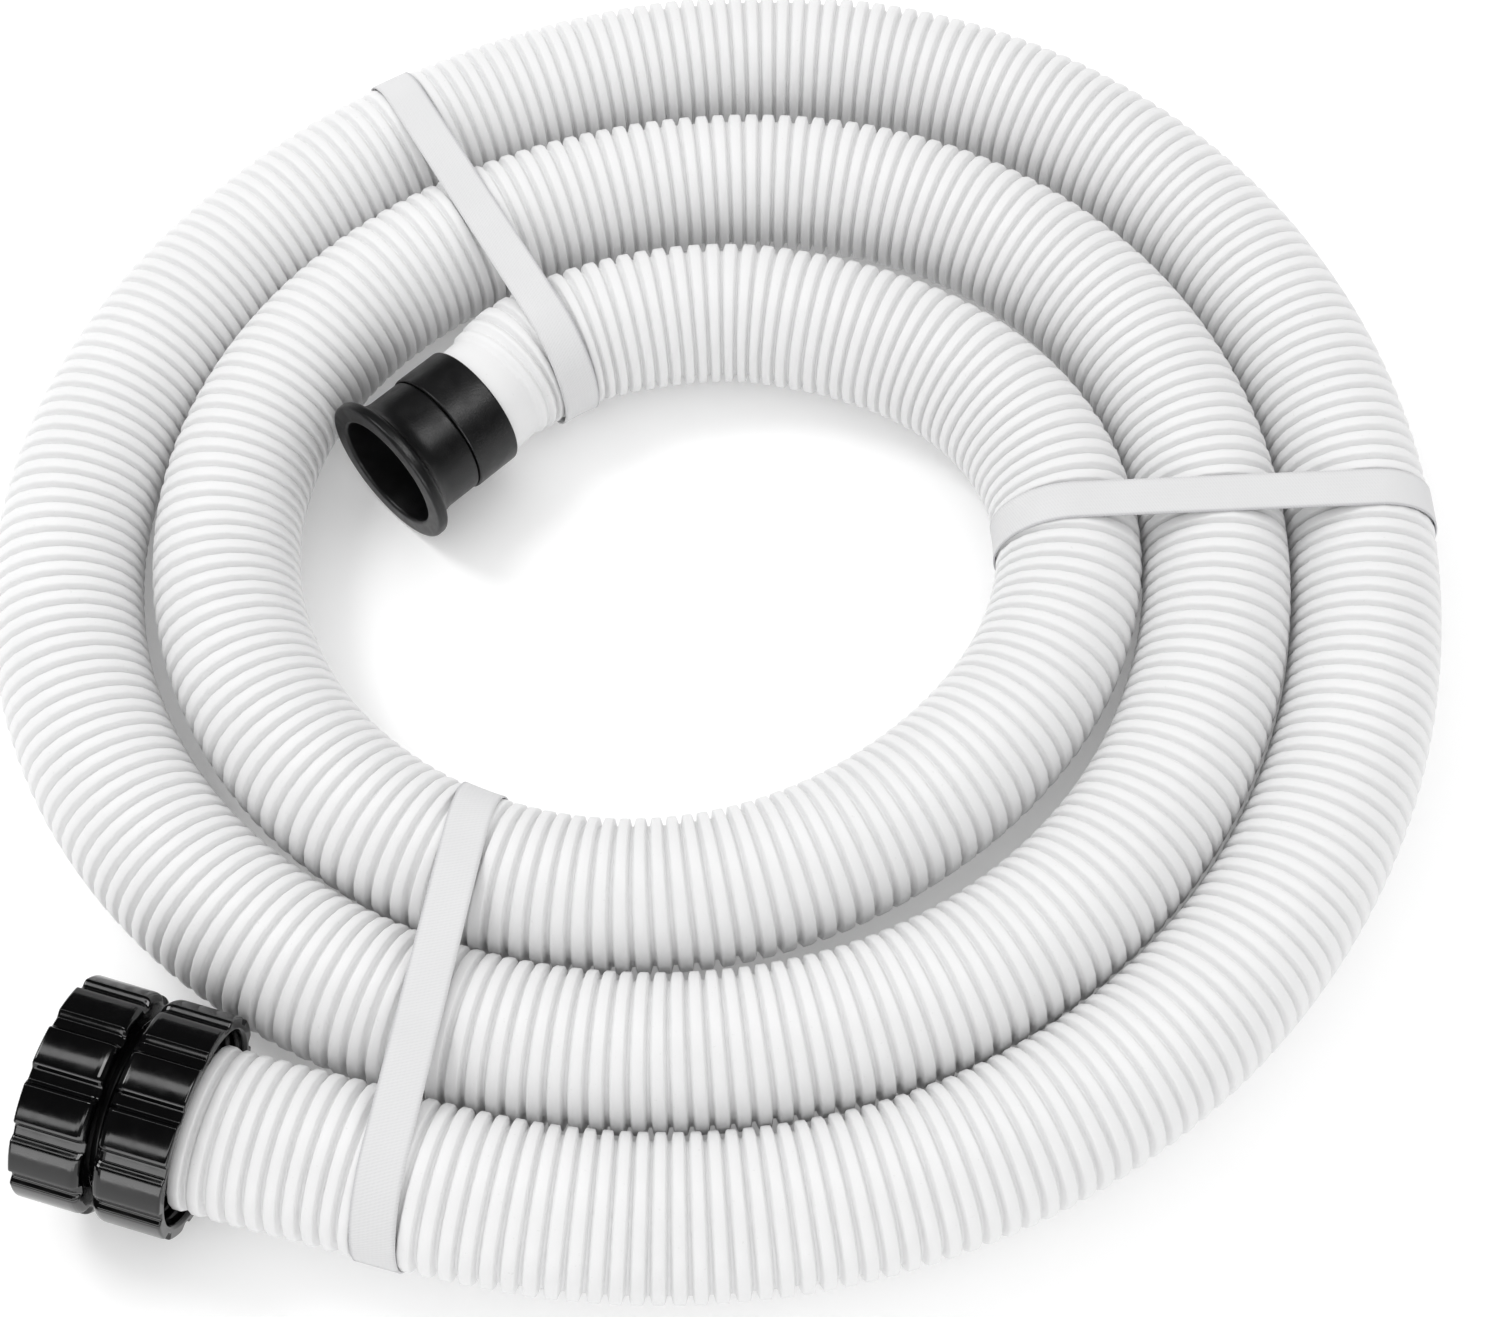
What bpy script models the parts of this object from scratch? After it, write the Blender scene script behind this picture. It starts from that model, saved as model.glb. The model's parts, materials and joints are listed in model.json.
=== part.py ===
"""A corrugated pool vacuum hose, coiled flat and held by three straps.

Metres, +Z up. The origin is on the floor, under the middle of the coil. The hose runs clockwise, seen
from above, from its inner end to its outer end. Each end has a swivel cuff, which is a collar fixed to
the hose and a flanged barrel that turns in it. Two identical union nuts sit back to back on the outer
end, with their shoulders together.
"""

import math

import bmesh
import bpy
from mathutils import Matrix, Vector
from mathutils.geometry import intersect_line_line_2d

# Driving dimensions of the hose. Its outer size is over the crests of the ribs.
HOSE_OD = 0.045
PLAIN_END_OD = 0.0386
BORE = 0.036
CUFF_BORE = 0.038
CLEARANCE = 0.0003

# The coil is a spiral of about three turns. Its radius is a mean, and waves of one, two and three lobes
# round a turn, which set it off centre and make it oval and egg-shaped. The mean and each wave's cosine and
# sine parts change along the coil: each holds its start, what it gains per turn, and per turn squared.
COIL_CENTER = Vector((-0.0003, 0.0008))
COIL_START = math.radians(84)
COIL_END = math.radians(-804)
COIL_STEP = math.radians(12)
FIRST_TURN_ANGLE = math.radians(90)
COIL_RADIUS = (0.09554, 0.05439, -0.00221)
COIL_WAVES = {
    1: ((-0.00745, -0.00391, 0.00190), (0.00602, 0.00044, 0.00066)),
    2: ((0.00628, 0.00182, -0.00147), (0.00148, 0.00047, 0.00022)),
    3: ((0.00324, -0.00703, 0.00191), (0.00136, -0.00121, 0.00008)),
}

# Each end of the hose: the middle of its cuff's face, and the way the face looks.
INNER_FACE = Vector((-0.1049, 0.0301, 0.0262))
INNER_HEADING = math.radians(225.5)
INNER_RISE = math.radians(2)
OUTER_FACE = Vector((-0.1775, -0.1691, 0.0334))
OUTER_HEADING = math.radians(164.5)
OUTER_RISE = math.radians(3.9)

# The cuffs, measured back from the face along the axis.
FLANGE_OD = 0.0505
FLANGE_THICKNESS = 0.0035
FLARE_LENGTH = 0.0055
BARREL_OD = 0.0404
BARREL_LENGTH = 0.0122
COLLAR_OD = 0.0416
COLLAR_LENGTH = 0.0158
SPIGOT_LENGTH = 0.0076
SPIGOT_WALL = 0.0010
BEAD_HEIGHT = 0.0009
BEAD_WIDTH = 0.0012
CUFF_EDGE = 0.0007
FLARE_CURVE = ((0.18, 0.45), (0.50, 0.16))  # share of its length, and of its height left there
COLLAR_AT = FLANGE_THICKNESS + FLARE_LENGTH + BARREL_LENGTH
CUFF_LENGTH = COLLAR_AT + COLLAR_LENGTH
HOSE_TIP_AT = COLLAR_AT + SPIGOT_LENGTH + CLEARANCE
CREST_RAMP = 0.0030
PLAIN_END_AT = {"inner": CUFF_LENGTH + 0.0090, "outer": CUFF_LENGTH + 0.0030}

# The union nuts.
NUT_OD = 0.0612
NUT_VALLEY_OD = 0.0578
NUT_LENGTH = 0.0194
NUT_GAP = 0.0029
NUT_BORE = 0.0536
SHOULDER_THICKNESS = 0.0035
SHOULDER_HOLE = 0.0468
SHOULDER_CHAMFER = 0.0030
MOUTH_CHAMFER = 0.0006
LOBES = 12
LOBE_SHARE = 0.60
SLOPE_SHARE = 0.12
LOBE_TOP_POINTS = (-0.5, -0.25, 0.0, 0.25, 0.5)
LOBE_TURN = math.radians(5)
OUTER_NUT_MOUTH_AT = 0.0010

# The straps. Each crosses the coil along a line from a point inside it to a point outside it.
STRAP_WIDTH = 0.0125
STRAP_THICKNESS = 0.0006
STRAP_GAP = 0.0005
STRAPS = {
    "back_strap": (Vector((-0.037, 0.046)), Vector((-0.119, 0.190))),
    "right_strap": (Vector((0.070, 0.006)), Vector((0.230, 0.014))),
    "front_strap": (Vector((-0.066, -0.076)), Vector((-0.090, -0.226))),
}

HOSE_HEIGHT = STRAP_THICKNESS + STRAP_GAP + HOSE_OD / 2

# The hose's route between the coil and each cuff, in order along the hose.
INNER_RUN = [(-0.0625, 0.0746, 0.0239), (-0.0468, 0.0841, HOSE_HEIGHT), (-0.0312, 0.0895, HOSE_HEIGHT)]
OUTER_RUN = [
    (-0.0184, -0.2032, 0.0243),
    (-0.0455, -0.2015, 0.0262),
    (-0.0719, -0.1968, 0.0278),
    (-0.0985, -0.1900, 0.0288),
]
STRAIGHT_END = 0.0481

# How finely the shapes are cut.
HOSE_POINTS = 200
HOSE_BEVEL_STEPS = 4
FINE_STEPS = 30
TURN_STEPS = 48
STRAP_STEPS = 96
MERGE_DISTANCE = 0.0001

PIECES = bpy.data.collections.new("vacuum_hose")
CUTTERS = bpy.data.collections.new("cutters")


def clear_scene():
    for obj in list(bpy.data.objects):
        bpy.data.objects.remove(obj, do_unlink=True)
    for collection in (PIECES, CUTTERS):
        bpy.context.scene.collection.children.link(collection)


def make_material(name, color, roughness):
    material = bpy.data.materials.new(name)
    material.use_nodes = True
    shader = material.node_tree.nodes["Principled BSDF"]
    shader.inputs["Base Color"].default_value = (*color, 1.0)
    shader.inputs["Roughness"].default_value = roughness
    shader.inputs["Metallic"].default_value = 0.0
    return material


def add_object(name, data, material=None, collection=PIECES):
    obj = bpy.data.objects.new(name, data)
    collection.objects.link(obj)
    if material:
        data.materials.append(material)
    return obj


def end_frame(face, heading, rise):
    """The cuff's own frame: its origin in the face, and +Z along the axis, out of the mouth."""
    outward = Vector(
        (math.cos(heading) * math.cos(rise), math.sin(heading) * math.cos(rise), math.sin(rise))
    )
    across = Vector((0, 0, 1)).cross(outward).normalized()
    down = outward.cross(across)
    frame = Matrix((across, down, outward)).transposed().to_4x4()
    frame.translation = face
    return frame


def grown(parts, turn):
    start, gain, bend = parts
    return start + gain * turn + bend * turn**2


def coil_point(angle):
    """The middle of the hose at this angle of the spiral, which falls as the hose runs on."""
    turn = (FIRST_TURN_ANGLE - angle) / math.tau
    radius = grown(COIL_RADIUS, turn)
    for lobes, (cosine, sine) in COIL_WAVES.items():
        radius += grown(cosine, turn) * math.cos(lobes * angle)
        radius += grown(sine, turn) * math.sin(lobes * angle)
    across = COIL_CENTER + radius * Vector((math.cos(angle), math.sin(angle)))
    return Vector((*across, HOSE_HEIGHT))


def route_points(inner, outer):
    """The points that the hose passes through, from its inner tip to its outer tip."""
    steps = round((COIL_START - COIL_END) / COIL_STEP)
    coil = [coil_point(COIL_START - COIL_STEP * i) for i in range(steps + 1)]
    return [
        inner @ Vector((0, 0, -HOSE_TIP_AT)),
        inner @ Vector((0, 0, -CUFF_LENGTH)),
        *map(Vector, INNER_RUN),
        *coil,
        *map(Vector, OUTER_RUN),
        outer @ Vector((0, 0, -STRAIGHT_END)),
        outer @ Vector((0, 0, -CUFF_LENGTH)),
        outer @ Vector((0, 0, -HOSE_TIP_AT)),
    ]


def smooth_route(points):
    """Evenly spaced points on one smooth curve through the given ones."""
    first = points[0] * 2 - points[1]
    last = points[-1] * 2 - points[-2]
    padded = [first, *points, last]
    fine = []
    for before, start, end, after in zip(padded, padded[1:], padded[2:], padded[3:]):
        span = (end - start).length
        leave = tangent_at(before, start, end)
        arrive = tangent_at(start, end, after)
        for i in range(FINE_STEPS):
            t = i / FINE_STEPS
            fine.append(
                start * (2 * t**3 - 3 * t**2 + 1)
                + leave * span * (t**3 - 2 * t**2 + t)
                + end * (3 * t**2 - 2 * t**3)
                + arrive * span * (t**3 - t**2)
            )
    fine.append(points[-1])
    return evenly(fine, HOSE_POINTS)


def tangent_at(before, here, after):
    """The curve's rate of travel at a point, from its two neighbours and how far off each is."""
    back = (here - before).length
    ahead = (after - here).length
    return ((here - before) / back * ahead + (after - here) / ahead * back) / (back + ahead)


def evenly(fine, count):
    travelled = [0.0]
    for a, b in zip(fine, fine[1:]):
        travelled.append(travelled[-1] + (b - a).length)
    spaced = []
    i = 0
    for k in range(count):
        target = travelled[-1] * k / (count - 1)
        while i < len(fine) - 2 and travelled[i + 1] < target:
            i += 1
        share = (target - travelled[i]) / (travelled[i + 1] - travelled[i])
        spaced.append(fine[i].lerp(fine[i + 1], share))
    return spaced


def make_hose(route, inner, outer, material):
    """A plain tube over the ribs' crests, with a slimmer plain end inside each collar."""
    curve = bpy.data.curves.new("hose", "CURVE")
    curve.dimensions = "3D"
    curve.twist_mode = "Z_UP"
    curve.bevel_depth = HOSE_OD / 2
    curve.bevel_resolution = HOSE_BEVEL_STEPS
    curve.use_fill_caps = True
    plain = PLAIN_END_OD / HOSE_OD
    begin = [
        (inner @ Vector((0, 0, -HOSE_TIP_AT)), plain),
        (inner @ Vector((0, 0, -PLAIN_END_AT["inner"])), plain),
    ]
    finish = [
        (outer @ Vector((0, 0, -PLAIN_END_AT["outer"])), plain),
        (outer @ Vector((0, 0, -HOSE_TIP_AT)), plain),
    ]
    begin_clear = PLAIN_END_AT["inner"] - HOSE_TIP_AT + CREST_RAMP
    finish_clear = PLAIN_END_AT["outer"] - HOSE_TIP_AT + CREST_RAMP
    body = [
        (point, 1.0)
        for point in route
        if (point - begin[0][0]).length > begin_clear and (point - finish[1][0]).length > finish_clear
    ]
    points = begin + body + finish
    spline = curve.splines.new("POLY")
    spline.points.add(len(points) - 1)
    for place, (point, share) in zip(spline.points, points):
        place.co = (*point, 1.0)
        place.radius = share
    return add_object("hose", curve, material)


def turned(name, profile, frame, material=None, collection=PIECES):
    """A ring from its profile of (radius, distance back from the face), outer side first."""
    mesh = bpy.data.meshes.new(name)
    vertices = [(radius, 0.0, -back) for radius, back in profile]
    edges = [(i, (i + 1) % len(profile)) for i in range(len(profile))]
    mesh.from_pydata(vertices, edges, [])
    obj = add_object(name, mesh, material, collection)
    obj.matrix_world = frame
    screw = obj.modifiers.new("turn", "SCREW")
    screw.steps = TURN_STEPS
    screw.render_steps = TURN_STEPS
    screw.use_merge_vertices = True
    screw.merge_threshold = MERGE_DISTANCE
    screw.use_smooth_shade = True
    return obj


def make_barrel(name, frame, material):
    """The flanged barrel. Its spigot turns inside the collar, and a bead keeps it there."""
    flange = FLANGE_OD / 2
    barrel = BARREL_OD / 2
    mouth = CUFF_BORE / 2
    bore = BORE / 2
    spigot = bore + SPIGOT_WALL
    back = FLANGE_THICKNESS
    neck = FLANGE_THICKNESS + FLARE_LENGTH
    bead = COLLAR_AT + SPIGOT_LENGTH / 2
    profile = [
        (flange - CUFF_EDGE, 0.0),
        (flange, CUFF_EDGE),
        (flange, back - CUFF_EDGE),
        (flange - CUFF_EDGE, back),
        *((barrel + (flange - barrel) * left, back + FLARE_LENGTH * share) for share, left in FLARE_CURVE),
        (barrel, neck),
        (barrel, COLLAR_AT - CLEARANCE),
        (spigot, COLLAR_AT - CLEARANCE),
        (spigot, bead - BEAD_WIDTH),
        (spigot + BEAD_HEIGHT, bead - BEAD_WIDTH / 2),
        (spigot + BEAD_HEIGHT, bead + BEAD_WIDTH / 2),
        (spigot, bead + BEAD_WIDTH),
        (spigot, COLLAR_AT + SPIGOT_LENGTH),
        (bore, COLLAR_AT + SPIGOT_LENGTH),
        (bore, COLLAR_AT),
        (mouth, COLLAR_AT - 2 * CUFF_EDGE),
        (mouth, CUFF_EDGE),
        (mouth + CUFF_EDGE, 0.0),
    ]
    return turned(name, profile, frame, material)


def make_collar(name, frame, material):
    """The collar, with a groove for the barrel's bead and a socket for the hose's plain end."""
    outside = COLLAR_OD / 2
    bearing = BORE / 2 + SPIGOT_WALL + CLEARANCE
    groove = bearing + BEAD_HEIGHT
    socket = PLAIN_END_OD / 2 + CLEARANCE
    bead = COLLAR_AT + SPIGOT_LENGTH / 2
    profile = [
        (outside - CUFF_EDGE, COLLAR_AT),
        (outside, COLLAR_AT + CUFF_EDGE),
        (outside, CUFF_LENGTH - CUFF_EDGE),
        (outside - CUFF_EDGE, CUFF_LENGTH),
        (socket, CUFF_LENGTH),
        (socket, HOSE_TIP_AT - CLEARANCE),
        (bearing, HOSE_TIP_AT - CLEARANCE),
        (bearing, bead + BEAD_WIDTH),
        (groove, bead + BEAD_WIDTH),
        (groove, bead - BEAD_WIDTH),
        (bearing, bead - BEAD_WIDTH),
        (bearing, COLLAR_AT),
    ]
    return turned(name, profile, frame, material)


def lobed_outline():
    """Flat-topped lobes with sloped sides, as points round the nut."""
    pitch = math.tau / LOBES
    top = NUT_OD / 2
    valley = NUT_VALLEY_OD / 2
    outline = []
    for lobe in range(LOBES):
        middle = lobe * pitch
        for share in LOBE_TOP_POINTS:
            outline.append((top, middle + share * pitch * LOBE_SHARE))
        foot = pitch * (LOBE_SHARE / 2 + SLOPE_SHARE)
        outline.append((valley, middle + foot))
        outline.append((valley, middle + pitch - foot))
    return [(radius * math.cos(angle), radius * math.sin(angle)) for radius, angle in outline]


def make_nut(name, frame, material):
    """A lobed prism, cut to a turned ring with a wide threaded bore and a shoulder behind it."""
    prism = bmesh.new()
    overhang = 2 * MOUTH_CHAMFER
    rim = [prism.verts.new((x, y, overhang)) for x, y in lobed_outline()]
    cap = prism.faces.new(rim)
    swept = bmesh.ops.extrude_face_region(prism, geom=[cap])
    moved = [item for item in swept["geom"] if isinstance(item, bmesh.types.BMVert)]
    bmesh.ops.translate(prism, verts=moved, vec=(0, 0, -NUT_LENGTH - 2 * overhang))
    bmesh.ops.recalc_face_normals(prism, faces=prism.faces)
    mesh = bpy.data.meshes.new(name)
    prism.to_mesh(mesh)
    prism.free()
    nut = add_object(name, mesh, material)
    nut.matrix_world = frame

    top = NUT_OD / 2
    clear = top + 2 * MOUTH_CHAMFER
    shoulder_back = NUT_LENGTH - SHOULDER_THICKNESS
    profile = [
        (top - MOUTH_CHAMFER, 0.0),
        (clear, clear - top + MOUTH_CHAMFER),
        (clear, NUT_LENGTH - SHOULDER_CHAMFER - clear + top),
        (top - SHOULDER_CHAMFER, NUT_LENGTH),
        (SHOULDER_HOLE / 2, NUT_LENGTH),
        (SHOULDER_HOLE / 2, shoulder_back),
        (NUT_BORE / 2, shoulder_back),
        (NUT_BORE / 2, MOUTH_CHAMFER),
        (NUT_BORE / 2 + MOUTH_CHAMFER, 0.0),
    ]
    envelope = turned(name + "_envelope", profile, frame, collection=CUTTERS)
    envelope.hide_render = True
    envelope.display_type = "WIRE"
    cut = nut.modifiers.new("turned", "BOOLEAN")
    cut.operation = "INTERSECT"
    cut.solver = "EXACT"
    cut.object = envelope
    return nut


def crossings(route, inside, outside):
    """Where the strap's line crosses the hose, as distances along the route in points."""
    found = []
    for i, (a, b) in enumerate(zip(route, route[1:])):
        hit = intersect_line_line_2d(a.xy, b.xy, inside, outside)
        if hit:
            found.append(i + (hit - a.xy).length / (b.xy - a.xy).length)
    return found


def strap_outline(route, places):
    """One edge of a taut loop. In each direction it touches the turn that reaches furthest."""
    middles = []
    sides = []
    for place in places:
        i = int(place)
        middles.append(route[i].lerp(route[i + 1], place - i))
        sides.append((route[i + 1] - route[i]).xy.orthogonal().normalized())
    out = (middles[-1] - middles[0]).xy.normalized()
    height = HOSE_OD / 2 + STRAP_GAP
    outline = []
    for step in range(STRAP_STEPS):
        angle = math.tau * (step + 0.5) / STRAP_STEPS
        outline.append(furthest_point(middles, sides, out, height, angle))
    return outline


def furthest_point(middles, sides, out, height, angle):
    """The strap's plane cuts each turn in an ellipse. The point is where the outermost one faces this way."""
    reach = -math.inf
    for middle, side in zip(middles, sides):
        width = height / abs(side.dot(out))
        offset = Vector((width**2 * math.cos(angle), height**2 * math.sin(angle)))
        offset /= math.hypot(width * math.cos(angle), height * math.sin(angle))
        point = Vector((*(middle.xy + out * offset.x), middle.z + offset.y))
        facing = Vector((*(out * math.cos(angle)), math.sin(angle)))
        if point.dot(facing) > reach:
            reach = point.dot(facing)
            furthest = point
    furthest.z = max(furthest.z, STRAP_THICKNESS)
    return furthest


def make_strap(name, route, material):
    """A flat band round the turns of the coil. Each of its edges follows the turns under it."""
    places = crossings(route, *STRAPS[name])
    half = STRAP_WIDTH / 2 / (route[1] - route[0]).length
    edges = [strap_outline(route, [place + side * half for place in places]) for side in (-1, 0, 1)]
    band = bmesh.new()
    rows = [[band.verts.new(point) for point in edge] for edge in edges]
    for row, after in zip(rows, rows[1:]):
        for i in range(STRAP_STEPS):
            j = (i + 1) % STRAP_STEPS
            band.faces.new((row[i], row[j], after[j], after[i]))
    mesh = bpy.data.meshes.new(name)
    band.to_mesh(mesh)
    band.free()
    strap = add_object(name, mesh, material)
    thicken = strap.modifiers.new("thickness", "SOLIDIFY")
    thicken.thickness = STRAP_THICKNESS
    thicken.offset = 1.0
    return strap


def build():
    clear_scene()
    white = make_material("hose_white", (0.86, 0.86, 0.87), 0.45)
    satin_black = make_material("cuff_black", (0.018, 0.018, 0.020), 0.42)
    gloss_black = make_material("nut_black", (0.010, 0.010, 0.011), 0.16)
    webbing = make_material("strap_white", (0.80, 0.81, 0.82), 0.60)

    inner = end_frame(INNER_FACE, INNER_HEADING, INNER_RISE)
    outer = end_frame(OUTER_FACE, OUTER_HEADING, OUTER_RISE)
    route = smooth_route(route_points(inner, outer))
    make_hose(route, inner, outer, white)
    for end, frame in (("inner", inner), ("outer", outer)):
        make_collar(end + "_collar", frame, satin_black)
        make_barrel(end + "_flanged_barrel", frame, satin_black)

    flip = Matrix.Rotation(math.pi, 4, "X")
    lobe_turn = Matrix.Rotation(LOBE_TURN, 4, "Z")
    outer_nut = outer @ Matrix.Translation((0, 0, -OUTER_NUT_MOUTH_AT)) @ lobe_turn
    spare_nut = outer_nut @ Matrix.Translation((0, 0, -2 * NUT_LENGTH - NUT_GAP)) @ flip
    make_nut("outer_nut", outer_nut, gloss_black)
    make_nut("spare_nut", spare_nut, gloss_black)

    for name in STRAPS:
        make_strap(name, route, webbing)


build()
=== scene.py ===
"""The looks of the coiled pool vacuum hose: its ribs, cuffs, union nuts and straps, around the CAD frame."""

import json
import math

import bpy
import numpy as np
from mathutils import Matrix, Vector
from mathutils.geometry import intersect_line_line_2d


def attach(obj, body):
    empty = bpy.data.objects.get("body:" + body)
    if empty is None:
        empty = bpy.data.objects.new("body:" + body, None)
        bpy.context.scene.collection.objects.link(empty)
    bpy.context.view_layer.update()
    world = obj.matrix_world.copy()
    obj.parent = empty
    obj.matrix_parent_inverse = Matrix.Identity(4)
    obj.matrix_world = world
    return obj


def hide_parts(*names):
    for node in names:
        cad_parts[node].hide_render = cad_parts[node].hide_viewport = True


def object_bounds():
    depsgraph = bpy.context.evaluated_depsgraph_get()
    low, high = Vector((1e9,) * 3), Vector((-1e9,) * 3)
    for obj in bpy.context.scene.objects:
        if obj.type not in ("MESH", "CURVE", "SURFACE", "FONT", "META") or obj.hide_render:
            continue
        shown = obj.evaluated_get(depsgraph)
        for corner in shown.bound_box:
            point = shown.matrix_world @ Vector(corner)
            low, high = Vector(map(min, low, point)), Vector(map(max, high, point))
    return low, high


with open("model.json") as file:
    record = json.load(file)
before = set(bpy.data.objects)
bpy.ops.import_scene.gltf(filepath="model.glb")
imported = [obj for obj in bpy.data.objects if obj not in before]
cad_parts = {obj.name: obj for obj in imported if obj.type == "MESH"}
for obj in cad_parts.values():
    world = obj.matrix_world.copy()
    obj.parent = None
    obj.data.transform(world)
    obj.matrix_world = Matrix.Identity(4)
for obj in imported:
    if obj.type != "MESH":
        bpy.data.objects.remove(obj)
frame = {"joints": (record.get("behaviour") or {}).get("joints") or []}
CAD_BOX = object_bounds()
FLOOR = CAD_BOX[0].z

# The camera looks down at the coil from the front.
CAMERA_TARGET = Vector((0.0098, -0.0221, 0.0))
CAMERA_ELEVATION = math.radians(62.5)
CAMERA_DISTANCE = 0.6894
CAMERA_LENS_MM = 52.5
CAMERA_CLIP_START = 0.01

# The hose. These repeat the route and the sizes of the CAD model.
HOSE_OD = 0.045
PLAIN_END_OD = 0.0386
BORE = 0.036
CLEARANCE = 0.0003
STRAP_THICKNESS = 0.0006
STRAP_GAP = 0.0005
HOSE_HEIGHT = STRAP_THICKNESS + STRAP_GAP + HOSE_OD / 2
COIL_CENTER = Vector((-0.0003, 0.0008))
COIL_START = math.radians(84)
COIL_END = math.radians(-804)
COIL_STEP = math.radians(12)
FIRST_TURN_ANGLE = math.radians(90)
# The coil's radius, and the waves on it: each part has a start, a gain a turn and a bend a turn squared.
COIL_RADIUS = (0.09554, 0.05439, -0.00221)
COIL_WAVES = {
    1: ((-0.00745, -0.00391, 0.00190), (0.00602, 0.00044, 0.00066)),
    2: ((0.00628, 0.00182, -0.00147), (0.00148, 0.00047, 0.00022)),
    3: ((0.00324, -0.00703, 0.00191), (0.00136, -0.00121, 0.00008)),
}
# The centreline's points between the coil and each end.
INNER_RUN = [(-0.0625, 0.0746, 0.0239), (-0.0468, 0.0841, HOSE_HEIGHT), (-0.0312, 0.0895, HOSE_HEIGHT)]
OUTER_RUN = [
    (-0.0184, -0.2032, 0.0243),
    (-0.0455, -0.2015, 0.0262),
    (-0.0719, -0.1968, 0.0278),
    (-0.0985, -0.1900, 0.0288),
]
STRAIGHT_END = 0.0481
FINE_STEPS = 40
TANGENT_REACH = 0.002  # how far before and after a point its direction is taken

# The ribs: how deep the grooves between them are, as a share of the rib's depth at each phase of the pitch.
RIB_PITCH = 0.0052
RIB_DEPTH = 0.0024
RIB_SHAPE = (
    (-0.09, 1.0),
    (0.09, 1.0),
    (0.16, 0.36),
    (0.21, 0.08),
    (0.28, 0.0),
    (0.72, 0.0),
    (0.79, 0.08),
    (0.84, 0.36),
)
SLIM_SHARE = 0.95
SLIM_LENGTH = 0.050
HOSE_SIDES = 23
BORE_DEPTH = 0.150
BORE_STEPS = 16
# The shape of the inner end past its collar: distance, height over the plain end, and groove share.
INNER_END_SHAPE = [
    (0.0086, 0.0, 0.0),
    (0.0096, -0.0005, 0.5),
    (0.0106, 0.0003, 0.1),
    (0.0118, 0.0010, 0.0),
    (0.0130, 0.0011, 0.0),
    (0.0137, 0.0002, 0.6),
    (0.0143, -0.0003, 1.0),
    (0.0149, 0.0002, 0.6),
    (0.0157, 0.0016, 0.0),
    (0.0177, 0.0018, 0.0),
]
INNER_RIBS_AT = 0.0188
OUTER_RIBS_AT = 0.0030

# The cuffs, measured back from the face along the axis.
CUFF_BORE = 0.038
FLANGE_OD = 0.0505
FLANGE_THICKNESS = 0.0035
FLARE_LENGTH = 0.0055
FLARE_CURVE = ((0.18, 0.45), (0.50, 0.16))  # share of its length, and of its height left there
BARREL_OD = 0.0404
BARREL_LENGTH = 0.0122
COLLAR_OD = 0.0416
COLLAR_LENGTH = 0.0158
SPIGOT_LENGTH = 0.0076
SPIGOT_WALL = 0.0010
COLLAR_AT = FLANGE_THICKNESS + FLARE_LENGTH + BARREL_LENGTH
CUFF_LENGTH = COLLAR_AT + COLLAR_LENGTH
HOSE_TIP_AT = COLLAR_AT + SPIGOT_LENGTH + CLEARANCE
SLEEVE = CUFF_LENGTH - HOSE_TIP_AT
CUFF_SIDES = 144
FLANGE_ROUND = 0.0012
FLARE_ROUND = 0.0020
BARREL_END_ROUND = 0.0006
SPIGOT_ROUND = 0.0003
BORE_ROUND = 0.0010
BORE_TAPER = 0.0014
COLLAR_FRONT_ROUND = 0.0008
COLLAR_BACK_ROUND = 0.0009
SOCKET_ROUND = 0.0004

# How the corners of the turned outlines are rounded.
ARC_STEPS = 7
ARC_SHARE = 0.45  # the most of a side that one arc may take up
HOLD_AT = 0.00015  # how far in from a side's ends the points that keep it flat lie
HOLD_SIDES_OVER = 4 * HOLD_AT

# The union nuts.
NUT_OD = 0.0612
NUT_VALLEY_OD = 0.0578
NUT_LENGTH = 0.0194
NUT_GAP = 0.0029
NUT_BORE = 0.0536
NUT_EDGE = 0.0007
THREAD_PITCH = 0.0030
THREAD_DEPTH = 0.0006
THREAD_STEPS = 8
SHOULDER_THICKNESS = 0.0035
SHOULDER_HOLE = 0.0468
SHOULDER_ROUND = 0.0030
LOBES = 12
LOBE_TURN = math.radians(5)
LOBE_PITCH = math.tau / LOBES
LOBE_FLAT = LOBE_PITCH * 0.30
LOBE_SLOPE = LOBE_PITCH * 0.12
LOBE_FLAT_POINTS = 6
LOBE_SLOPE_POINTS = 9
LOBE_VALLEY_POINTS = 4
OUTER_NUT_MOUTH_AT = 0.0010

# The straps. Each has a line across the turns, from inside the coil to outside it.
STRAP_WIDTH = 0.0125
WEBBING_THICKNESS = STRAP_THICKNESS * 0.85
STRAP_STEPS = 240
STRAP_ROWS = 9
STRAPS = {
    "back_strap": (Vector((-0.037, 0.046)), Vector((-0.119, 0.190))),
    "right_strap": (Vector((0.070, 0.006)), Vector((0.230, 0.014))),
    "front_strap": (Vector((-0.066, -0.076)), Vector((-0.090, -0.226))),
}

# The webbing's weave, and its bound edge, which starts and is full this far in from the side.
YARN_PITCH = 0.00045
YARN_ROW = 0.00060
YARN_SLANT = 0.55
YARN_SHARE = 0.75
WEAVE_DEPTH = 0.00008
BOUND_FROM = 0.0008
BOUND_FULLY = 0.0002

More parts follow.
